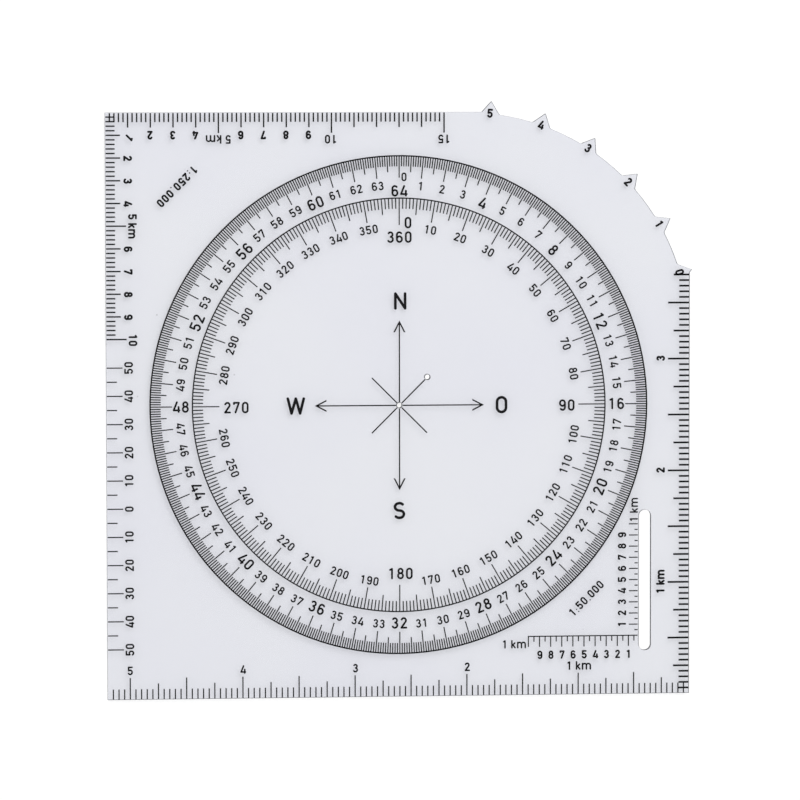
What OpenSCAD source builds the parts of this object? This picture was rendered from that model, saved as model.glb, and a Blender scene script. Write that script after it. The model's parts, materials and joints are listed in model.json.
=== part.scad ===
// Square map protractor: a clear plastic sheet with a toothed corner, two pin holes and a pencil slot,
// and the black ink of its scales as thin films on the upper face.
// Millimetres. The origin is on the axis of the centre hole, at the underside of the sheet.
// +X points to the printed east, +Y to the printed north, +Z up out of the map.

/* [Sheet] */
// Width of the sheet, from its left edge to its right edge
sheet_w = 104; // [102:0.5:120]
// Height of the sheet, from its bottom edge to its top edge
sheet_h = 104; // [102:0.5:120]
// Thickness of the clear plastic
sheet_t = 1.2; // [0.8:0.1:3]
// Width of each of the two pin holes
pin_hole_d = 0.9; // [0.6:0.1:1.6]
// How far the second pin hole lies right of the centre hole, and as far above it
pin_hole_step = 5; // [4:0.5:8]

/* [Pencil slot] */
// From the right edge of the sheet to the middle of the slot
slot_inset = 8; // [7:0.1:9]
// Width of the slot
slot_w = 2.15; // [1:0.05:3]
// From the bottom edge of the sheet up to the level of the slot scale's zero
slot_zero_h = 10.5; // [9:0.1:12]
// How far the slot runs down past its zero
slot_below = 2.7; // [2:0.1:4]
// How far the slot runs up from its zero
slot_above = 22.5; // [21:0.1:25]

/* [Toothed corner] */
// Radius of the corner between its teeth
corner_r = 39.8; // [36:0.1:44]
// How far the whole corner's arc would stay inside the top edge and the right edge
corner_gap = 0.1; // [0:0.1:1]
// Number of teeth
tooth_count = 6; // [3:1:8]
// Angle from the X axis to the first tooth, next to the top edge
tooth_first = 84; // [80:0.5:86]
// Angle from the X axis to the last tooth, next to the right edge
tooth_last = 16.3; // [12:0.1:20]
// Height of a tooth above the corner's arc
tooth_h = 2.2; // [1:0.1:3]
// Width of a tooth at the corner's arc
tooth_w = 3.25; // [2:0.05:4.5]
// Radius of the fillets where the arc meets the teeth
tooth_foot_r = 0.6; // [0.2:0.1:0.8]

/* [Print] */
// Thickness of the ink film
ink_t = 0.03; // [0.02:0.01:0.1]
// Gap left between the ink and a cut edge
print_gap = 0.1; // [0.05:0.05:0.3]
// Gap left between the ink and a pin hole
hole_gap = 0.15; // [0.05:0.05:0.4]

/* [Mil ring] */
// From the nearest edge of the sheet to the outer edge of the mil ring
mil_margin = 7.6; // [6:0.1:12]
// Width of the ring line
mil_ring_line = 0.27; // [0.15:0.01:0.4]
// Width of a mark
mil_mark_line = 0.2; // [0.1:0.01:0.22]
// Marks round the whole turn, one for every 10 mils
mil_marks = 640; // [320:320:640]
// Length of a mark of 10 mils, from the ring's outer edge
mil_short = 2; // [1:0.1:2.5]
// Length of a mark of 50 mils
mil_middle = 3; // [2.6:0.1:3.5]
// Length of a mark of 100 mils
mil_long = 4; // [3.6:0.1:5]

/* [Degree ring] */
// From the outer edge of the mil ring in to the outer edge of the degree ring
ring_gap = 7.5; // [7:0.1:10]
// Width of the ring line
degree_ring_line = 0.24; // [0.15:0.01:0.4]
// Width of a mark
degree_mark_line = 0.2; // [0.1:0.01:0.3]
// Marks round the whole turn, one for every degree
degree_marks = 360; // [180:180:360]
// Length of a mark of 1 degree, from the ring's outer edge
degree_short = 2; // [1:0.1:2.5]
// Length of a mark of 5 degrees
degree_middle = 3; // [2.6:0.1:3.5]
// Length of a mark of 10 degrees
degree_long = 4; // [3.6:0.1:4.6]
// Length of the marks at 0, 90, 180 and 270 degrees
degree_quarter = 4.9; // [4.7:0.1:6]

/* [Compass rose] */
// From the centre to the tip of each arrow
rose_arm = 15.1; // [10:0.1:17]
// From the centre to the end of each diagonal
rose_diagonal = 6.95; // [3:0.05:9]
// Width of the arms and the diagonals
rose_line = 0.22; // [0.15:0.01:0.35]
// Length of an arrow head
arrow_l = 2.1; // [1:0.1:4]
// Width across an arrow head
arrow_w = 2.15; // [1:0.05:4]
// Width of the two strokes of an arrow head, measured across the arm
arrow_line = 0.28; // [0.2:0.01:0.4]

/* [Edge scales] */
// Width of a mark of the 1:50 000 scale along the bottom edge
bottom_line = 0.22; // [0.15:0.01:0.4]
// Width of a mark of the 1:50 000 scale up the right edge, which is printed bolder
right_line = 0.33; // [0.15:0.01:0.4]
// Distance between marks of the 1:50 000 scale, which stand for 50 m
step_50000 = 1; // [0.5:0.1:1]
// Length of a mark of 50 m, from the edge of the sheet
short_50000 = 1.9; // [1:0.05:2.2]
// Length of a mark of 250 m
middle_50000 = 2.9; // [2.4:0.05:3.2]
// Length of a mark of 500 m
long_50000 = 3.9; // [3.4:0.05:4.5]
// Width of a mark of the 1:250 000 scale
line_250000 = 0.26; // [0.15:0.01:0.4]
// Distance between marks of the 1:250 000 scale, which stand for 200 m
step_250000 = 0.8; // [0.4:0.1:0.8]
// Length of a mark of 200 m, from the edge of the sheet
short_250000 = 1.7; // [1:0.05:2]
// Length of a mark of 1 km
middle_250000 = 2.65; // [2.2:0.05:3.2]
// Length of a mark of 5 km
long_250000 = 3.65; // [3.3:0.05:4.5]
// Kilometres of the 1:250 000 scale along the top edge
top_km = 15; // [5:1:15]
// Kilometres of the 1:250 000 scale down the left edge
left_km = 10; // [5:1:10]

/* [Deviation scale] */
// From the bottom edge of the sheet up to the zero of the deviation scale
deviation_zero_h = 33.95; // [32:0.05:36]
// Width of its marks
deviation_line = 0.21; // [0.15:0.01:0.4]
// Distance between its marks, which stand for 5 units
deviation_step = 2.5; // [1.5:0.1:2.5]
// Marks on each side of its zero
deviation_marks = 10; // [4:1:10]
// Length of a mark of 5 units, from the edge of the sheet
deviation_short = 1.9; // [1:0.05:2.4]
// Length of a mark of 10 units
deviation_long = 2.9; // [2.5:0.05:4]

/* [Slot scale] */
// Width of the slot scale's lines
slot_line = 0.2; // [0.12:0.01:0.3]
// From the slot's left wall left to the ink beside it
slot_gap = 0.22; // [0.1:0.01:0.3]
// From the slot's left wall right to the zero of the level leg
level_zero_in = 0.12; // [0:0.01:0.5]
// Distance between its marks, which stand for 50 m
slot_step = 1; // [0.5:0.1:1]
// Marks on each leg, up to 1 km
slot_marks = 20; // [10:2:20]
// Length of a mark of 100 m below the level leg
level_long = 1.9; // [1.2:0.05:2.5]
// Length of a mark of 50 m below the level leg
level_short = 0.95; // [0.5:0.05:1.2]
// From the slot's left wall to the end of a mark of 100 m beside it
upright_long = 1.8; // [1:0.05:2.5]
// From the slot's left wall to the end of a mark of 50 m beside it
upright_short = 0.8; // [0.5:0.05:0.9]

/* [Hidden] */
$fn = 96;

// Edges of the sheet, seen from the centre hole
right_x = sheet_w / 2;
left_x = -sheet_w / 2;
top_y = sheet_h / 2;
bottom_y = -sheet_h / 2;

// Centre of the toothed corner, and the angle from one tooth to the next
corner_x = right_x - corner_r - corner_gap;
corner_y = top_y - corner_r - corner_gap;
tooth_pitch = (tooth_first - tooth_last) / (tooth_count - 1);
// How deep a tooth reaches into the sheet, so that it joins it all along its foot
tooth_root = 1;
// How deep the fillets at its feet reach in, and how far their arcs run past the faces that they touch
foot_root = 0.25;
foot_over = 0.005;

// Middle of the slot, its left wall, and the zero of the slot scale
slot_x = right_x - slot_inset;
slot_left_x = slot_x - slot_w / 2;
level_zero_x = slot_left_x + level_zero_in;
slot_zero_y = bottom_y + slot_zero_h;

deviation_zero_y = bottom_y + deviation_zero_h;

// Marks of the 1:50 000 scale, along the whole bottom edge and up the right edge to the toothed corner
bottom_marks = floor((sheet_w - bottom_line) / step_50000);
right_straight = corner_y + (right_x - corner_x) * tan(tooth_last) - bottom_y;
right_marks = floor((right_straight - right_line / 2) / step_50000);
// Marks in a kilometre of the 1:250 000 scale
km_marks = 5;

// Radius of the outer edge of each ring
mil_r = min(sheet_w, sheet_h) / 2 - mil_margin;
degree_r = mil_r - ring_gap;

// Where the lines of the rose start, just clear of the centre hole
rose_start = pin_hole_d / 2 + hole_gap;
// Length of an arrow head for each mm of its half width, and where the arms end inside the heads
arrow_slope = arrow_l / (arrow_w / 2);
arm_end = rose_arm - arrow_slope * (rose_line / 2 + arrow_line) / 2;

// How far the cuts run past the faces that they go through
cut_over = 1;

// A point turned clockwise by an angle about the origin
function clockwise(p, angle) = [
    p[0] * cos(angle) + p[1] * sin(angle),
    p[1] * cos(angle) - p[0] * sin(angle)
];

// A point at a distance and an angle from the centre of the toothed corner
function corner_point(r, angle) = [corner_x + r * cos(angle), corner_y + r * sin(angle)];

// Length of mark number i on a scale with a longer mark at every fifth and every tenth
function mark_length(i, short, middle, long) = i % 10 == 0 ? long : i % 5 == 0 ? middle : short;

// Length of mark number i on a scale with a longer mark at every second
function second_length(i, short, long) = i % 2 == 0 ? long : short;

// The region beyond the corner's arc, from the first tooth to the last
module corner_waste() {
    middle = (tooth_first + tooth_last) / 2;
    reach = 2 * corner_r;
    difference() {
        polygon([
            [corner_x, corner_y],
            corner_point(reach, tooth_last),
            corner_point(reach, middle),
            corner_point(reach, tooth_first)
        ]);
        translate([corner_x, corner_y])
            circle(r = corner_r);
    }
}

// A pointed tooth whose flanks run on into the sheet
module tooth() {
    foot = tooth_w / 2 * (tooth_h + tooth_root) / tooth_h;
    polygon([
        [corner_r + tooth_h, 0],
        [corner_r - tooth_root, foot],
        [corner_r - tooth_root, -foot]
    ]);
}

// The web that rounds off one foot of a tooth, on the side that faces +Y (side 1) or -Y (side -1).
// Its arc touches the flank and the corner's arc: the middle lies one fillet radius off each of them.
module tooth_foot(side) {
    half_w = tooth_w / 2;
    flank = norm([tooth_h, half_w]);
    down = [-tooth_h, side * half_w] / flank;
    out = [half_w, side * tooth_h] / flank;
    tip = [corner_r + tooth_h, 0] + tooth_foot_r * out;
    along = tip * down;
    middle_r = corner_r + tooth_foot_r;
    run = -along - sqrt(along * along - tip * tip + middle_r * middle_r);
    middle = tip + run * down;
    arc_side = middle * (corner_r - foot_root) / middle_r;
    flank_side = middle - (tooth_foot_r + foot_root) * out;
    inner = [corner_r - tooth_root, side * half_w];
    difference() {
        polygon(side > 0 ? [middle, arc_side, inner, flank_side] : [middle, flank_side, inner, arc_side]);
        translate(middle)
            circle(r = tooth_foot_r + foot_over);
    }
}

module sheet_outline() {
    difference() {
        translate([left_x, bottom_y])
            square([sheet_w, sheet_h]);
        corner_waste();
    }
    translate([corner_x, corner_y]) {
        for (i = [0 : tooth_count - 1])
            rotate(tooth_first - i * tooth_pitch)
                tooth();
        for (i = [1 : tooth_count - 1])
            rotate(tooth_first - i * tooth_pitch)
                tooth_foot(1);
        for (i = [0 : tooth_count - 2])
            rotate(tooth_first - i * tooth_pitch)
                tooth_foot(-1);
    }
}

module pin_hole(x, y) {
    translate([x, y, -cut_over])
        cylinder(d = pin_hole_d, h = sheet_t + 2 * cut_over);
}

// The slot's straight part and its two round ends
module pencil_slot() {
    low_y = slot_zero_y - slot_below + slot_w / 2;
    high_y = slot_zero_y + slot_above - slot_w / 2;
    depth = sheet_t + 2 * cut_over;
    translate([slot_left_x, low_y, -cut_over])
        cube([slot_w, high_y - low_y, depth]);
    for (y = [low_y, high_y])
        translate([slot_x, y, -cut_over])
            cylinder(d = slot_w, h = depth);
}

module clear_sheet() {
    color([0.90, 0.91, 0.93, 0.5])
        difference() {
            linear_extrude(sheet_t)
                sheet_outline();
            pin_hole(0, 0);
            pin_hole(pin_hole_step, pin_hole_step);
            pencil_slot();
        }
}

// Ink of a flat outline, lying on the upper face of the sheet
module ink() {
    color("black")
        translate([0, 0, sheet_t])
            linear_extrude(ink_t)
                children();
}

// The four corners of ring mark number i, from the inner edge of the ring line in and back out
function ring_mark(r, line, mark_line, angle, length) = [
    clockwise([-mark_line / 2, r - line], angle),
    clockwise([-mark_line / 2, r - length], angle),
    clockwise([mark_line / 2, r - length], angle),
    clockwise([mark_line / 2, r - line], angle)
];

// A ring line with marks that point inwards: a disc cut out by the outline that runs along the marks
module ring_scale(r, line, mark_line, lengths) {
    marks = len(lengths);
    difference() {
        circle(r = r, $fn = marks);
        polygon([
            for (i = [0 : marks - 1])
                each ring_mark(r, line, mark_line, i * 360 / marks, lengths[i])
        ]);
    }
}

module mil_ring_print() {
    ink()
        ring_scale(mil_r, mil_ring_line, mil_mark_line,
            [for (i = [0 : mil_marks - 1]) mark_length(i, mil_short, mil_middle, mil_long)]);
}

module degree_ring_print() {
    quarter = degree_marks / 4;
    ink()
        ring_scale(degree_r, degree_ring_line, degree_mark_line,
            [for (i = [0 : degree_marks - 1]) i % quarter == 0 ? degree_quarter
                : mark_length(i, degree_short, degree_middle, degree_long)]);
}

// An open arrow head that points along +Y with its tip at the end of the arm
module arrow_head() {
    polygon([
        [0, rose_arm],
        [-arrow_w / 2, rose_arm - arrow_l],
        [arrow_line - arrow_w / 2, rose_arm - arrow_l],
        [0, rose_arm - arrow_line * arrow_slope],
        [arrow_w / 2 - arrow_line, rose_arm - arrow_l],
        [arrow_w / 2, rose_arm - arrow_l]
    ]);
}

module rose_stroke(angle, end) {
    rotate(angle)
        translate([-rose_line / 2, rose_start])
            square([rose_line, end - rose_start]);
}

module compass_rose_print() {
    second_hole = pin_hole_step * sqrt(2);
    to_second_hole = second_hole - pin_hole_d / 2 - hole_gap;
    ink() {
        for (angle = [0, 90, 180, 270]) {
            rose_stroke(angle, arm_end);
            rotate(angle)
                arrow_head();
        }
        for (angle = [45, 135, 225])
            rose_stroke(angle, rose_diagonal);
        rose_stroke(-45, min(rose_diagonal, to_second_hole));
    }
}

// Marks along +X from a zero at the origin, standing up from a gap above the X axis to their lengths
module edge_marks(first, last, step, gap, line, lengths) {
    for (i = [first : last])
        translate([i * step - line / 2, gap])
            square([line, lengths[i - first] - gap]);
}

function lengths_50000(count) =
    [for (i = [1 : count]) mark_length(i, short_50000, middle_50000, long_50000)];

// The 1:50 000 scale, with its zero at the lower right corner and a leg along each edge
module scale_50000_print() {
    ink() {
        translate([right_x, bottom_y])
            mirror([1, 0])
                edge_marks(1, bottom_marks, step_50000, print_gap, bottom_line,
                    lengths_50000(bottom_marks));
        translate([right_x, bottom_y])
            rotate(90)
                edge_marks(1, right_marks, step_50000, print_gap, right_line,
                    lengths_50000(right_marks));
    }
}

// Length of mark number i of the 1:250 000 scale
function length_250000(i) = i % (5 * km_marks) == 0 ? long_250000
    : i % km_marks == 0 ? middle_250000 : short_250000;

// The 1:250 000 scale, with its zero at the upper left corner and a leg along each edge
module scale_250000_print() {
    ink() {
        translate([left_x, top_y])
            mirror([0, 1])
                edge_marks(1, top_km * km_marks, step_250000, print_gap, line_250000,
                    [for (i = [1 : top_km * km_marks]) length_250000(i)]);
        translate([left_x, top_y])
            rotate(-90)
                edge_marks(1, left_km * km_marks, step_250000, print_gap, line_250000,
                    [for (i = [1 : left_km * km_marks]) length_250000(i)]);
    }
}

// The scale that counts 50 units each way from its zero, on the left edge
module deviation_scale_print() {
    ink()
        translate([left_x, deviation_zero_y])
            rotate(-90)
                edge_marks(-deviation_marks, deviation_marks, deviation_step, print_gap, deviation_line,
                    [for (i = [-deviation_marks : deviation_marks])
                        second_length(i, deviation_short, deviation_long)]);
}

// The small 1:50 000 scale at the slot: a level leg with its marks below it, and marks beside the slot
module slot_scale_print() {
    leg = slot_marks * slot_step;
    ink() {
        translate([level_zero_x - leg - slot_line / 2, slot_zero_y - slot_line / 2])
            square([leg + slot_line / 2 - level_zero_in - slot_gap, slot_line]);
        translate([level_zero_x, slot_zero_y])
            rotate(180)
                edge_marks(1, slot_marks, slot_step, 0, slot_line,
                    [for (i = [1 : slot_marks]) second_length(i, level_short, level_long)]);
        translate([slot_left_x, slot_zero_y])
            rotate(90)
                edge_marks(1, slot_marks, slot_step, slot_gap, slot_line,
                    [for (i = [1 : slot_marks]) second_length(i, upright_short, upright_long)]);
    }
}

clear_sheet();
mil_ring_print();
degree_ring_print();
compass_rose_print();
scale_50000_print();
scale_250000_print();
deviation_scale_print();
slot_scale_print();
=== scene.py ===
import json
import math

import bpy
from mathutils import Matrix, Vector

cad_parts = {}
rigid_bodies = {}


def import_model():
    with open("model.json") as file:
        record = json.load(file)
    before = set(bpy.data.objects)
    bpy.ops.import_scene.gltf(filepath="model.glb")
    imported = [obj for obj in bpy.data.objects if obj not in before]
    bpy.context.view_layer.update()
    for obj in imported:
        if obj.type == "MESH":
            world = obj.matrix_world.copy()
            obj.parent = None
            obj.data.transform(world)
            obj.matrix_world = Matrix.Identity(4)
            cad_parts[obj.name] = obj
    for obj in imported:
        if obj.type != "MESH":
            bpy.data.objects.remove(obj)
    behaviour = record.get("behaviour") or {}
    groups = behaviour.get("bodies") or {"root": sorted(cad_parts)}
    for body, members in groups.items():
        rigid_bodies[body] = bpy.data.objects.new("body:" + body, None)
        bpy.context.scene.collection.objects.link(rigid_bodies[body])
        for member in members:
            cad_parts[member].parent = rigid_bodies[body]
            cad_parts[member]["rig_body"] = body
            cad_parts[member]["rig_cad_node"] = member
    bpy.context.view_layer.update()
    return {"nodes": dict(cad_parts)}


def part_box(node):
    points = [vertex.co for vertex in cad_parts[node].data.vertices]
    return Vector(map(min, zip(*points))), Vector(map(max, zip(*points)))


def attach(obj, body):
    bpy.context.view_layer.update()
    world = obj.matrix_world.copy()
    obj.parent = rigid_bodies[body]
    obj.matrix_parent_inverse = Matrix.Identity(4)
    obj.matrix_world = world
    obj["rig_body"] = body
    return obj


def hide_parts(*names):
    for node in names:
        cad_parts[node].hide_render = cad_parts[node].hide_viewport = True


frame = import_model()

mm = 0.001


# Clear sheet: the protractor's body, one square sheet of clear acrylic plastic with a toothed corner.
# It is sawn to shape, two pin holes are drilled and countersunk, and a pencil slot is milled, so its cut
# walls are frosted and its edges lightly broken. The cut walls are coloured near black as painted shade,
# standing in for the dark lines along the cut edges.

merge_gap = 0.002 * mm
flat_angle = math.radians(0.2)


def select_only(*pieces):
    """Leaves just these objects selected, the last of them active."""
    bpy.ops.object.select_all(action="DESELECT")
    for piece in pieces:
        piece.select_set(True)
        bpy.context.view_layer.objects.active = piece


def apply_modifiers(piece):
    """Applies what modifiers the piece has, in their order."""
    select_only(piece)
    for modifier in list(piece.modifiers):
        bpy.ops.object.modifier_apply(modifier=modifier.name)


def clean_mesh(piece, gap):
    """Merges doubled points, takes out edges that lie in a flat face, and turns the faces outwards."""
    select_only(piece)
    bpy.ops.object.mode_set(mode="EDIT")
    bpy.ops.mesh.select_all(action="SELECT")
    bpy.ops.mesh.remove_doubles(threshold=gap)
    bpy.ops.mesh.dissolve_limited(angle_limit=flat_angle)
    bpy.ops.mesh.normals_make_consistent(inside=False)
    bpy.ops.object.mode_set(mode="OBJECT")


select_only(frame["nodes"]["clear_sheet"])
bpy.ops.object.duplicate(linked=False)
sheet = bpy.context.object
sheet.name = sheet.data.name = "clear_plastic_sheet"
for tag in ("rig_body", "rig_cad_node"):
    if tag in sheet:
        del sheet[tag]
bpy.ops.object.parent_clear(type="CLEAR_KEEP_TRANSFORM")
clean_mesh(sheet, merge_gap)

# The rims of the two drilled holes are countersunk
hole_r = 0.45 * mm
hole_places = [Vector((0, 0)), Vector((5 * mm, 5 * mm))]
rim_reach = 1.1 * hole_r
countersink = 0.1 * mm
select_only(sheet)
bpy.ops.object.mode_set(mode="EDIT")
bpy.ops.mesh.select_mode(type="EDGE")
bpy.ops.mesh.select_all(action="DESELECT")
bpy.ops.object.mode_set(mode="OBJECT")
for edge in sheet.data.edges:
    ends = [sheet.data.vertices[i].co for i in edge.vertices]
    level = abs(ends[0].z - ends[1].z) < merge_gap
    on_rim = any(all((end.xy - place).length < rim_reach for end in ends) for place in hole_places)
    edge.select = level and on_rim
bpy.ops.object.mode_set(mode="EDIT")
bpy.ops.mesh.bevel(offset=countersink, segments=1, affect="EDGES")
bpy.ops.object.mode_set(mode="OBJECT")

# All square edges are lightly broken, while the countersinks stay crisp
edge_break = 0.05 * mm
square_angle = math.radians(50)
bevel = sheet.modifiers.new("broken edges", "BEVEL")
bevel.width = edge_break
bevel.segments = 2
bevel.limit_method = "ANGLE"
bevel.angle_limit = square_angle
bevel.use_clamp_overlap = False
apply_modifiers(sheet)
for face in sheet.data.polygons:
    face.use_smooth = False


def new_material(name):
    """A material with its node tree and its Principled shader."""
    material = bpy.data.materials.new(name)
    material.use_nodes = True
    tree = material.node_tree
    return material, tree, next(n for n in tree.nodes if n.type == "BSDF_PRINCIPLED")


def show_surface(tree, shader_socket):
    """Makes this shader what the material shows."""
    output = next(n for n in tree.nodes if n.type == "OUTPUT_MATERIAL")
    tree.links.new(shader_socket, output.inputs["Surface"])


def add_node(tree, kind, **values):
    """A node, with its properties and its sockets set by name."""
    node = tree.nodes.new(kind)
    for key, value in values.items():
        if hasattr(node, key):
            setattr(node, key, value)
        else:
            node.inputs[key.replace("_", " ").title()].default_value = value
    return node


def add_ramp(tree, source, stops):
    """A colour ramp of (position, colour) stops that reads a value."""
    ramp = add_node(tree, "ShaderNodeValToRGB")
    elements = ramp.color_ramp.elements
    while len(elements) < len(stops):
        elements.new(1)
    for element, (position, colour) in zip(elements, stops):
        element.position = position
        element.color = (*colour, 1)
    tree.links.new(source, ramp.inputs["Fac"])
    return ramp.outputs["Color"]


def add_mix(tree, factor, first, second):
    """A mix of two colours, each a socket or a plain colour."""
    mix = add_node(tree, "ShaderNodeMix", data_type="RGBA")
    tree.links.new(factor, mix.inputs["Factor"])
    for name, colour in (("A", first), ("B", second)):
        if isinstance(colour, tuple):
            mix.inputs[name].default_value = (*colour, 1)
        else:
            tree.links.new(colour, mix.inputs[name])
    return mix.outputs["Result"]


def add_shader_mix(tree, factor, first, second):
    """A mix of two shaders."""
    mix = add_node(tree, "ShaderNodeMixShader")
    tree.links.new(factor, mix.inputs["Fac"])
    tree.links.new(first, mix.inputs[1])
    tree.links.new(second, mix.inputs[2])
    return mix.outputs["Shader"]


def add_math(tree, operation, *sources):
    """A Math node of one or two values, each a socket or a plain number."""
    node = add_node(tree, "ShaderNodeMath", operation=operation)
    for socket, source in zip(node.inputs, sources):
        if isinstance(source, float):
            socket.default_value = source
        else:
            tree.links.new(source, socket)
    return node.outputs["Value"]


def grey(level):
    """A grey colour."""
    return (level, level, level)


def clouding_group():
    """Soft clouds and fine grain on Object coordinates, each from 0 to 1, with sizes given by scale."""
    group = bpy.data.node_groups.new("clouds and grain", "ShaderNodeTree")
    for name, value in (("Cloud Scale", 30), ("Grain Scale", 3000)):
        socket = group.interface.new_socket(name, in_out="INPUT", socket_type="NodeSocketFloat")
        socket.default_value = value
    for name in ("Clouds", "Grain"):
        group.interface.new_socket(name, in_out="OUTPUT", socket_type="NodeSocketFloat")
    start = group.nodes.new("NodeGroupInput")
    end = group.nodes.new("NodeGroupOutput")
    place = group.nodes.new("ShaderNodeTexCoord")
    for scale, result, detail in (("Cloud Scale", "Clouds", 3), ("Grain Scale", "Grain", 2)):
        noise = add_node(group, "ShaderNodeTexNoise", detail=detail)
        group.links.new(place.outputs["Object"], noise.inputs["Vector"])
        group.links.new(start.outputs[scale], noise.inputs["Scale"])
        group.links.new(noise.outputs["Fac"], end.inputs[result])
    return group


clouding = clouding_group()


def add_clouding(tree, cloud_scale, grain_scale):
    """The clouds and the grain, placed in a material with its own scales."""
    node = tree.nodes.new("ShaderNodeGroup")
    node.node_tree = clouding
    node.inputs["Cloud Scale"].default_value = cloud_scale
    node.inputs["Grain Scale"].default_value = grain_scale
    return node.outputs["Clouds"], node.outputs["Grain"]


def clear_plastic():
    """Clear plastic with a faint cool tint, fine scratches and specks, and frosted cut walls coloured dark as
    painted shade.
    """
    material, tree, shader = new_material("clear plastic")
    links = tree.links
    clouds, grain = add_clouding(tree, cloud_scale=26, grain_scale=1800)
    cool_tint = (0.764, 0.772, 0.826)
    pale_tint = (0.782, 0.792, 0.831)
    tint = add_ramp(tree, clouds, [(0.38, cool_tint), (0.62, pale_tint)])

    # Cut walls stand upright, so the normal's height tells them from the two faces
    face_z = 0.97
    wall_z = 0.72
    wall_share = 0.88
    geometry = add_node(tree, "ShaderNodeNewGeometry")
    normal = add_node(tree, "ShaderNodeSeparateXYZ")
    links.new(geometry.outputs["Normal"], normal.inputs["Vector"])
    height = add_math(tree, "ABSOLUTE", normal.outputs["Z"])
    walls = add_node(tree, "ShaderNodeMapRange", from_min=face_z, from_max=wall_z,
                     to_min=0, to_max=wall_share)
    links.new(height, walls.inputs["Value"])
    wall = walls.outputs["Result"]
    # The walls' near-black colour is painted shade for the dark lines along the cut edges; the grain in it is
    # real frosting
    wall_shade_dark = (0.085, 0.088, 0.095)
    wall_shade_pale = (0.17, 0.174, 0.184)
    frosted_wall_shade = add_ramp(tree, grain, [(0.3, wall_shade_dark), (0.7, wall_shade_pale)])

    # Long scratches all run one way, and small grey specks are spread over the sheet
    place = add_node(tree, "ShaderNodeTexCoord")
    scratch_turn = (0, 0, math.radians(38))
    scratch_stretch = (60, 900, 60)
    turned = add_node(tree, "ShaderNodeMapping", rotation=scratch_turn, scale=scratch_stretch)
    links.new(place.outputs["Object"], turned.inputs["Vector"])
    streak = add_node(tree, "ShaderNodeTexNoise", detail=1, scale=1)
    links.new(turned.outputs["Vector"], streak.inputs["Vector"])
    scratches = add_ramp(tree, streak.outputs["Fac"], [(0.74, grey(0)), (0.80, grey(1))])
    speck_scale = 130
    speck_colour = (0.42, 0.42, 0.45)
    cells = add_node(tree, "ShaderNodeTexVoronoi", scale=speck_scale)
    links.new(place.outputs["Object"], cells.inputs["Vector"])
    specks = add_ramp(tree, cells.outputs["Distance"], [(0.012, grey(1)), (0.024, grey(0))])
    specked = add_mix(tree, specks, tint, speck_colour)
    links.new(add_mix(tree, wall, specked, frosted_wall_shade), shader.inputs["Base Color"])

    scratch_rough = grey(0.2)
    wall_rough = grey(0.55)
    polished = add_ramp(tree, grain, [(0.3, grey(0.02)), (0.7, grey(0.05))])
    scuffed = add_mix(tree, scratches, polished, scratch_rough)
    links.new(add_mix(tree, wall, scuffed, wall_rough), shader.inputs["Roughness"])
    shader.inputs["Transmission Weight"].default_value = 1
    shader.inputs["IOR"].default_value = 1.49

    # The walls scatter light in their dark painted-shade colour, and light reaches the map through the sheet
    sawn_wall_shade = add_node(tree, "ShaderNodeBsdfDiffuse")
    links.new(frosted_wall_shade, sawn_wall_shade.inputs["Color"])
    edged = add_shader_mix(tree, wall, shader.outputs["BSDF"], sawn_wall_shade.outputs["BSDF"])
    clear = add_node(tree, "ShaderNodeBsdfTransparent")
    clear.inputs["Color"].default_value = (0.97, 0.97, 0.975, 1)
    rays = add_node(tree, "ShaderNodeLightPath")
    passing = add_math(tree, "MAXIMUM", rays.outputs["Is Shadow Ray"], rays.outputs["Is Diffuse Ray"])
    show_surface(tree, add_shader_mix(tree, passing, edged, clear.outputs["BSDF"]))
    return material


sheet.data.materials.clear()
sheet.data.materials.append(clear_plastic())
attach(sheet, "root")
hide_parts("clear_sheet")


# Printed lines: the rings, the compass rose and the marks of every scale, screen-printed on the upper face
# in black ink. The ink is a thin even film, a little less shiny than the plastic.

def black_ink():
    """Screen ink: near black, with a slight unevenness in its depth and its shine."""
    material, tree, shader = new_material("black ink")
    clouds, grain = add_clouding(tree, cloud_scale=90, grain_scale=5000)
    deep_black = (0.003, 0.003, 0.004)
    thin_black = (0.006, 0.006, 0.007)
    depth = add_ramp(tree, clouds, [(0.3, deep_black), (0.7, thin_black)])
    tree.links.new(depth, shader.inputs["Base Color"])
    shine = add_ramp(tree, grain, [(0.3, grey(0.5)), (0.7, grey(0.65))])
    tree.links.new(shine, shader.inputs["Roughness"])
    shader.inputs["Specular IOR Level"].default_value = 0.12
    bump = add_node(tree, "ShaderNodeBump", strength=0.15, distance=0.01 * mm)
    tree.links.new(grain, bump.inputs["Height"])
    tree.links.new(bump.outputs["Normal"], shader.inputs["Normal"])
    return material


ink = black_ink()
for node in ("mil_ring_print", "degree_ring_print", "compass_rose_print", "scale_50000_print",
             "scale_250000_print", "deviation_scale_print", "slot_scale_print"):
    printed = frame["nodes"][node]
    for slot in printed.material_slots:
        slot.material = ink
    if not printed.material_slots:
        printed.data.materials.append(ink)


# Figures of the mil ring: printed in black ink, in a round-ended technical hand, one for every 100 mils and
# larger at each 400. They stand between the two rings, tops outwards in the upper half and inwards in the
# lower half.

ink_low, ink_high = (corner.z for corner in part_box("mil_ring_print"))
# A figure is drawn on a grid that is 20 units high between the pen's centre lines
grid_h = 20
arc_step = 15
figure_pitch = 18.4
pitches = {" ": 8, ":": 10, ".": 10, "k": 16, "m": 31}
dot_pen_share = 0.75
closed_gap = 1e-6
stroke_gap = 1e-5


def arc(x, y, rx, ry, start, end):
    """Points of an oval round x, y from one angle to another."""
    steps = max(1, round(abs(end - start) / arc_step))
    turns = [math.radians(start + (end - start) * i / steps) for i in range(steps + 1)]
    return [(x + rx * math.cos(t), y + ry * math.sin(t)) for t in turns]


def oval(x, y, rx, ry):
    """A closed oval."""
    return arc(x, y, rx, ry, 0, 360)


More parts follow.
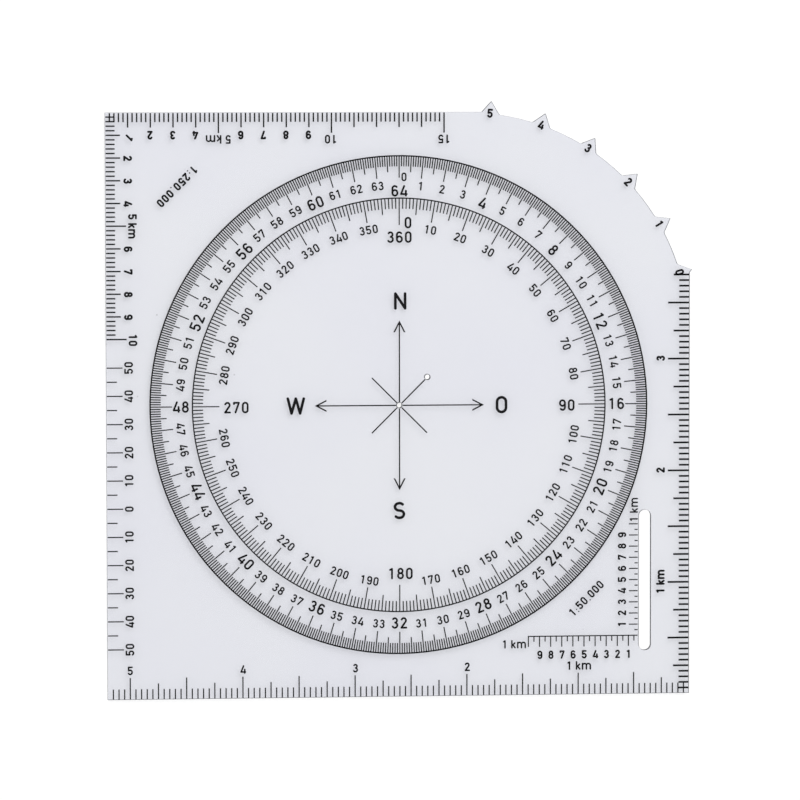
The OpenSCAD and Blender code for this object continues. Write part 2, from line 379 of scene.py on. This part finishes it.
def long_oval(half_w, half_h):
    """A closed oval with straight sides."""
    straight = half_h - half_w
    return (arc(0, straight, half_w, half_w, 0, 180) + arc(0, -straight, half_w, half_w, 180, 360)
            + [(half_w, straight)])


def turned_round(lines):
    """The same strokes turned by half a turn."""
    return [[(-x, -y) for x, y in line] for line in lines]


six = [arc(-0.3, 4.8, 4.9, 5.2, 38, 180) + [(-5.2, -4.2)], oval(0, -4.2, 5.2, 5.8)]
drawn = {
    "0": [long_oval(5, 10)],
    "1": [[(-3.4, 7.7), (0.6, 10)], [(0.6, 10), (0.6, -10)]],
    "2": [arc(-0.2, 5.2, 4.7, 4.8, 158, -30) + [(-5, -10)], [(-5, -10), (5.2, -10)]],
    "3": [arc(-0.3, 5.4, 4.4, 4.6, 148, -80), arc(-0.4, -4.7, 5.2, 5.3, 82, -148)],
    "4": [[(1, 10), (-5.8, -6.8)], [(-5.8, -6.8), (6.2, -6.8)], [(4.4, 0), (4.4, -10)]],
    "5": [[(4.6, 10), (-4.8, 10)], [(-4.8, 10), (-4.8, 0.6)], arc(-0.4, -4, 5.3, 6, 128, -148)],
    "6": six,
    "7": [[(-5, 7.6), (-5, 10)], [(-5, 10), (5.2, 10)], [(5.2, 10), (-1.8, -10)]],
    "8": [oval(0, 5.3, 4.4, 4.7), oval(0, -4.6, 5.2, 5.4)],
    "9": turned_round(six),
    ":": [[(0, -2.2), (0, -2.1)], [(0, -11), (0, -10.9)]],
    ".": [[(0, -11), (0, -10.9)]],
    "k": [[(-4.5, 10), (-4.5, -10)], [(4, 3.6), (-4.5, -4.4)], [(-1.6, -1.8), (4.6, -10)]],
    "m": [[(-11, 5.2), (-11, -10)], arc(-5.5, 0, 5.5, 5.2, 180, 0) + [(0, -10)],
          arc(5.5, 0, 5.5, 5.2, 180, 0) + [(11, -10)]],
    "N": [[(-6.6, -10), (-6.6, 10)], [(-6.6, 10), (6.6, -10)], [(6.6, -10), (6.6, 10)]],
    "O": [long_oval(6.1, 10)],
    "S": [arc(0, 5, 6, 5, 42, 250) + arc(0, -5, 6.2, 5, 70, -140)],
    "W": [[(-10.8, 10), (-5.8, -10)], [(-5.8, -10), (0, 10)],
          [(0, 10), (5.8, -10)], [(5.8, -10), (10.8, 10)]],
}
masters = {}


def beside(points, offset, closed):
    """The points moved sideways by an offset, to the left of the way along them."""
    moved = []
    count = len(points)
    for i, point in enumerate(points):
        before = points[(i - 1) % count] if closed or i > 0 else point
        after = points[(i + 1) % count] if closed or i < count - 1 else point
        way_in = (point - before).normalized() if before != point else (after - point).normalized()
        way_out = (after - point).normalized() if after != point else way_in
        side = Vector((-way_in.y - way_out.y, way_in.x + way_out.x)).normalized()
        lean = side.dot(Vector((-way_in.y, way_in.x)))
        moved.append(point + side * offset / lean)
    return moved


def round_end(middle, way, pen):
    """The half circle from the left of a way, round the end, to its right."""
    turn = math.degrees(math.atan2(way.y, way.x))
    return [middle + Vector(p) for p in arc(0, 0, pen / 2, pen / 2, turn + 90, turn - 90)][1:-1]


def stroke_outlines(line, pen):
    """The closed outlines round one stroke of a round pen."""
    points = [Vector(p) / grid_h for p in line]
    closed = (points[0] - points[-1]).length < closed_gap
    if closed:
        points = points[:-1]
        return [beside(points, -pen / 2, True), beside(points, pen / 2, True)]
    left = beside(points, pen / 2, False)
    right = beside(points, -pen / 2, False)
    last_way = (points[-1] - points[-2]).normalized()
    first_way = (points[0] - points[1]).normalized()
    return [left + round_end(points[-1], last_way, pen) + right[::-1] + round_end(points[0], first_way, pen)]


def stroke_solid(line, pen):
    """One stroke as a flat curve with a thickness of 1, made a mesh."""
    curve = bpy.data.curves.new("stroke", "CURVE")
    curve.dimensions = "2D"
    curve.fill_mode = "BOTH"
    curve.extrude = 0.5
    for outline in stroke_outlines(line, pen):
        spline = curve.splines.new("POLY")
        spline.points.add(len(outline) - 1)
        for spot, point in zip(spline.points, outline):
            spot.co = (point.x, point.y, 0, 1)
        spline.use_cyclic_u = True
    solid = bpy.data.objects.new("stroke", curve)
    bpy.context.collection.objects.link(solid)
    select_only(solid)
    bpy.ops.object.convert(target="MESH")
    solid = bpy.context.object
    clean_mesh(solid, stroke_gap)
    return solid


def master_figure(sign, pen):
    """The first of its kind: a figure 1 high between the pen's centre lines, its strokes made one solid."""
    key = (sign, round(pen, 3))
    if key not in masters:
        first, *others = [stroke_solid(line, pen) for line in drawn[sign]]
        for other in others:
            union = first.modifiers.new("joined stroke", "BOOLEAN")
            union.operation = "UNION"
            union.solver = "EXACT"
            union.object = other
            apply_modifiers(first)
            bpy.data.objects.remove(other)
        clean_mesh(first, stroke_gap)
        masters[key] = first
    return masters[key]


def write(text, x, y, height, pen, turn=0, spacing=1):
    """Copies of the figures of a text, with its middle at x, y in mm, turned counter-clockwise."""
    unit = (height - pen) / grid_h
    widths = [pitches.get(sign, figure_pitch) * spacing for sign in text]
    at = -sum(widths) / 2
    copies = []
    middle = Matrix.Translation((x * mm, y * mm, (ink_low + ink_high) / 2))
    row = middle @ Matrix.Rotation(math.radians(turn), 4, "Z")
    size = Matrix.Diagonal((grid_h * unit * mm, grid_h * unit * mm, ink_high - ink_low, 1))
    for sign, width in zip(text, widths):
        if sign != " ":
            sign_pen = (dot_pen_share if sign in ":." else 1) * pen / (height - pen)
            copy = master_figure(sign, sign_pen).copy()
            copy.data = copy.data.copy()
            bpy.context.collection.objects.link(copy)
            copy.data.transform(row @ Matrix.Translation(((at + width / 2) * unit * mm, 0, 0)) @ size)
            copies.append(copy)
        at += width
    return copies


def finish_print(name, copies):
    """Joins the copies into one printed piece of black ink."""
    select_only(*copies)
    bpy.ops.object.join()
    piece = bpy.context.object
    piece.name = piece.data.name = name
    piece.data.materials.clear()
    piece.data.materials.append(ink)
    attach(piece, "root")


def write_on_ring(text, clockwise, radius, height, pen, upper_shift, lower_shift):
    """A label on a ring, turned with it and shifted along its reading direction."""
    lower = 90 < clockwise < 270
    turn = (180 if lower else 0) - clockwise
    shift = lower_shift if lower else upper_shift
    x = radius * math.sin(math.radians(clockwise)) + shift * math.cos(math.radians(turn))
    y = radius * math.cos(math.radians(clockwise)) + shift * math.sin(math.radians(turn))
    return write(text, x, y, height, pen, turn)


small_h, small_pen = 1.55, 0.27
large_h, large_pen = 2.05, 0.34
hundreds = 64
small_r, large_r = 39.065, 38.85
upper_shift, lower_shift = 0.02, 0.1
figures = []
for n in range(1, hundreds):
    clockwise = n * 360 / hundreds
    if n % 4:
        figures += write_on_ring(str(n), clockwise, small_r, small_h, small_pen, upper_shift, lower_shift)
    elif n % 16:
        figures += write_on_ring(str(n), clockwise, large_r, large_h, large_pen, upper_shift, lower_shift)
for text, x, y in (("64", 0.03, 38.07), ("16", 38.82, 0.05), ("32", -0.07, -38.81), ("48", -38.82, -0.02)):
    figures += write(text, x, y, large_h, large_pen)
figures += write("0", 0.86, 40.53, small_h, small_pen)
finish_print("mil_ring_figures", figures)


# Figures of the degree ring: printed in black ink for every 10 degrees inside the inner ring, turned with it,
# with larger upright ones at the four quarters.

degree_r = 31.61
upper_shift, lower_shift = 0.045, 0.08
figures = []
for degrees in range(10, 360, 10):
    if degrees % 90:
        label = str(degrees)
        figures += write_on_ring(label, degrees, degree_r, small_h, small_pen, upper_shift, lower_shift)
for text, x, y in (("360", 0.03, 29.87), ("0", 1.56, 32.43), ("90", 29.93, -0.16), ("180", 0.14, -29.98),
                   ("270", -29.0, -0.19)):
    figures += write(text, x, y, large_h, large_pen)
finish_print("degree_ring_figures", figures)


# Letters of the compass rose: the four largest signs on the sheet, printed in black ink beyond the arrow
# tips, for north, east, south and west.

letter_h, letter_pen = 3.11, 0.49
letters = []
for text, x, y in (("N", 0.16, 18.55), ("O", 18.23, 0), ("S", -0.05, -18.73), ("W", -18.45, 0.01)):
    letters += write(text, x, y, letter_h, letter_pen)
finish_print("compass_letters", letters)


# Figures of the 1:50 000 scale: kilometres printed in black ink along the bottom edge, and bolder up the
# right edge, where they are turned to read from the right. The scale's ratio stands beside the rings.

edge_h, edge_pen = 1.56, 0.29
bold_pen = 0.36
bottom_y, right_x = -46.81, 46.79
figures = []
for text, x in (("5", -47.98), ("4", -27.95), ("3", -7.93), ("2", 12.07), ("1 km", 32.14)):
    figures += write(text, x, bottom_y, edge_h, edge_pen)
for text, y in (("3", 8.08), ("2", -11.92), ("1 km", -31.9)):
    figures += write(text, right_x, y, edge_h, bold_pen, turn=90)
ratio_h, ratio_pen = 1.52, 0.33
figures += write("1:50.000", 33.45, -34.79, ratio_h, edge_pen, turn=45, spacing=1.01)
finish_print("scale_50000_figures", figures)


# Figures of the 1:250 000 scale: kilometres printed in black ink along the top edge and down the left edge,
# turned to read from the corner that they are counted from. The scale's ratio stands beside the rings.

km_step = 4
top_y, left_x = 48, -48.02
top_start, left_start = -52.07, 51.93
# The labels at the long marks stand further in
long_top_y, long_left_x = 47.23, -47.23
figures = write("1", -47.73, 47.57, edge_h, bold_pen, turn=-135)
for km in (2, 3, 4, 6, 7, 8, 9):
    figures += write(str(km), top_start + km_step * km, top_y, edge_h, bold_pen, turn=180)
    figures += write(str(km), left_x, left_start - km_step * km, edge_h, bold_pen, turn=-90)
for text, x in (("5 km", -32.04), ("10", -12.12), ("15", 8)):
    figures += write(text, x, long_top_y, edge_h, edge_pen, turn=180)
for text, y in (("5 km", 31.95), ("10", 11.88)):
    figures += write(text, long_left_x, y, edge_h, ratio_pen, turn=-90)
figures += write("1:250.000", -39.32, 38.95, ratio_h, ratio_pen, turn=-135, spacing=1.07)
finish_print("scale_250000_figures", figures)


# Figures of the deviation scale: printed in black ink up the left edge, turned to read from the right, and
# counting tens each way from the zero.

tens = 5
ten_step = 5
deviation_x, zero_y = -48.03, -18.04
figures = []
for n in range(-tens, tens + 1):
    figures += write(str(10 * abs(n)), deviation_x, zero_y + ten_step * n, edge_h, edge_pen, turn=90)
finish_print("deviation_figures", figures)


# Figures of the slot scale: small figures printed in black ink under the level leg and beside the slot, one
# for every 100 m, with a label for the whole kilometre at the end of each leg.

slot_h, slot_pen = 1.52, 0.31
km_h, km_pen = 1.5, 0.27
hundred_step = 2
level_start, level_y = 43.1, -44.82
upright_x, upright_start = 39.88, -41.46
figures = write("1 km", 20.5, -42.87, km_h, km_pen) + write("1 km", 42, -18.97, km_h, km_pen, turn=90)
for n in range(1, 10):
    along = hundred_step * n
    figures += write(str(n), level_start - along, level_y, slot_h, slot_pen)
    figures += write(str(n), upright_x, upright_start + along, slot_h, slot_pen, turn=90)
finish_print("slot_scale_figures", figures)


# Figures of the teeth: bold figures printed in black ink at the roots of the six teeth, each with its top
# towards its tooth.

tooth_h, tooth_pen = 1.62, 0.36
teeth = 6
# The middle that the figures stand round, their distance from it, and the angles of the first and last tooth
around_x, around_y, around_r = 12.06, 12.26, 39.7
first_turn, last_turn = 84, 16.3
figures = []
for i in range(teeth):
    turn = first_turn - i * (first_turn - last_turn) / (teeth - 1)
    x = around_x + around_r * math.cos(math.radians(turn))
    y = around_y + around_r * math.sin(math.radians(turn))
    figures += write(str(teeth - 1 - i), x, y, tooth_h, tooth_pen, turn=turn - 90)
finish_print("tooth_figures", figures)
for master in masters.values():
    bpy.data.objects.remove(master)


# Floor, light and camera: a plain white table in soft daylight from the sky and one window, seen almost
# straight from above. The sheet lies flat on the table, face up.

table_w = 6
table_z = -0.05 * mm
table_glow = 0.42
bpy.ops.object.select_all(action="DESELECT")
bpy.ops.mesh.primitive_plane_add(size=table_w, location=(0, 0, table_z))
floor = bpy.context.object
floor.name = "floor"
material, tree, shader = new_material("white table")
shader.inputs["Base Color"].default_value = (0.65, 0.65, 0.65, 1)
shader.inputs["Roughness"].default_value = 0.9
shader.inputs["Specular IOR Level"].default_value = 0.1
shader.inputs["Emission Color"].default_value = (1, 1, 1, 1)
# The table looks white to the camera, also in reflections and through the sheet, and lights nothing more
rays = add_node(tree, "ShaderNodeLightPath")
seen = add_math(tree, "MAXIMUM", rays.outputs["Is Camera Ray"], rays.outputs["Is Glossy Ray"])
through = add_math(tree, "MAXIMUM", seen, rays.outputs["Is Transmission Ray"])
glow = add_math(tree, "MULTIPLY", through, table_glow)
tree.links.new(glow, shader.inputs["Emission Strength"])
# Seen from below, the table gives way to the sheet's underside
table_face = add_node(tree, "ShaderNodeNewGeometry")
unseen = add_node(tree, "ShaderNodeBsdfTransparent")
show_surface(tree, add_shader_mix(tree, table_face.outputs["Backfacing"], shader.outputs["BSDF"],
                                  unseen.outputs["BSDF"]))
floor.data.materials.append(material)

sky_grey = grey(0.72)
seen_white = grey(1)
world = bpy.data.worlds.new("soft daylight")
bpy.context.scene.world = world
world.use_nodes = True
tree = world.node_tree
background = next(n for n in tree.nodes if n.type == "BACKGROUND")
rays = add_node(tree, "ShaderNodeLightPath")
sky = add_mix(tree, rays.outputs["Is Camera Ray"], sky_grey, seen_white)
tree.links.new(sky, background.inputs["Color"])

bpy.ops.object.light_add(type="AREA", location=(0.12, 0.33, 0.6))
lamp = bpy.context.object
lamp.name = "window light"
lamp.data.shape = "SQUARE"
lamp.data.size = 0.4
lamp.data.energy = 1.7
lamp.visible_camera = False
lamp.visible_transmission = False
lamp.rotation_euler = (Vector((0, 0, 0)) - lamp.location).to_track_quat("-Z", "Y").to_euler()

camera_place = (-81.8325 * mm, 56.0017 * mm, 883.8045 * mm)
camera_turns = (-3.54584, -5.30841, -0.08518)
bpy.ops.object.camera_add(location=camera_place, rotation=tuple(math.radians(turn) for turn in camera_turns))
camera = bpy.context.object
camera.data.sensor_width = 36
camera.data.lens = 225.105
camera.data.clip_start = 0.01
bpy.context.scene.camera = camera
bpy.context.scene.view_settings.view_transform = "Standard"
